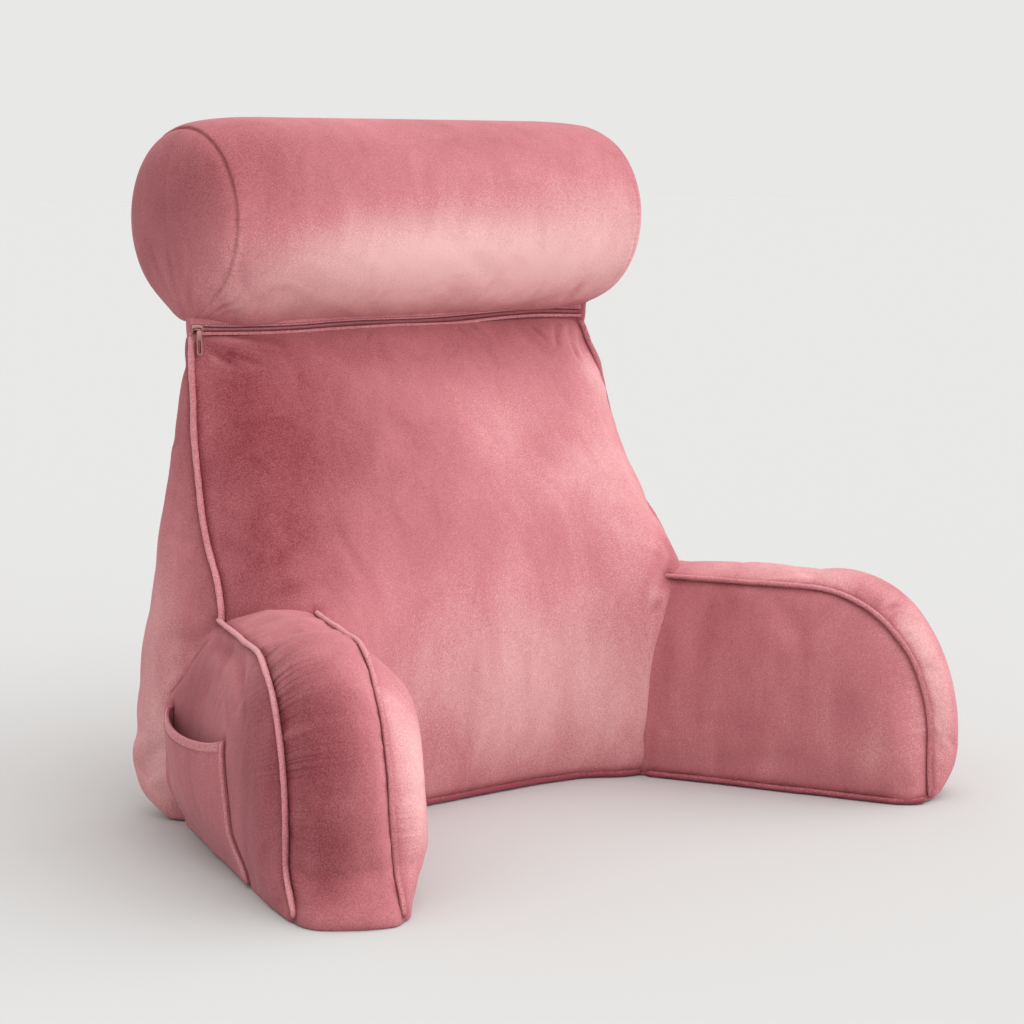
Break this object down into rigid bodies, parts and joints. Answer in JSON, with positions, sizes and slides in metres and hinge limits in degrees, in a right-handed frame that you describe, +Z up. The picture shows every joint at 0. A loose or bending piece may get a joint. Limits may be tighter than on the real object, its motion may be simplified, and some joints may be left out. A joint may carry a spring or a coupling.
{
  "type": "reading pillow with arms",
  "caption": "Upright reading pillow in velvet with a wedge backrest, splayed padded arms, a zipped-on neck roll and a side pocket.",
  "frame": {"origin": "middle of the footprint, on the surface that the pillow stands on", "axes": "+Z up, +Y towards the back of the backrest, +X to the right of someone facing the pillow, so the arms reach towards -Y"},
  "size_m": [0.7404, 0.491, 0.6145],
  "materials": {
    "velvet": "dusty rose short-pile velvet, brushed in light and dark patches",
    "piping": "the same velvet, cut on the bias round a cord",
    "zip_tape": "woven polyester tape, dyed to match",
    "zip_coil": "nylon coil, dyed to match",
    "zip_metal": "rose bronze plated, lightly polished"
  },
  "bodies": {
    "root": {"backrest": "velvet", "arm_left": "velvet", "arm_right": "velvet", "neck_roll": "velvet", "pocket": "velvet", "zip_flap": "velvet", "zip_lip": "velvet", "piping_back_left": "piping", "piping_back_right": "piping", "piping_arm_left_outer": "piping", "piping_arm_left_inner": "piping", "piping_arm_right_outer": "piping", "piping_arm_right_inner": "piping", "base_piping_back": "piping", "base_piping_arm_left": "piping", "base_piping_arm_right": "piping", "zip_tape_upper": "zip_tape", "zip_tape_lower": "zip_tape", "zip_coil": "zip_coil", "zip_slider": "zip_metal", "zip_pull": "zip_metal"}
  },
  "joints": []
}
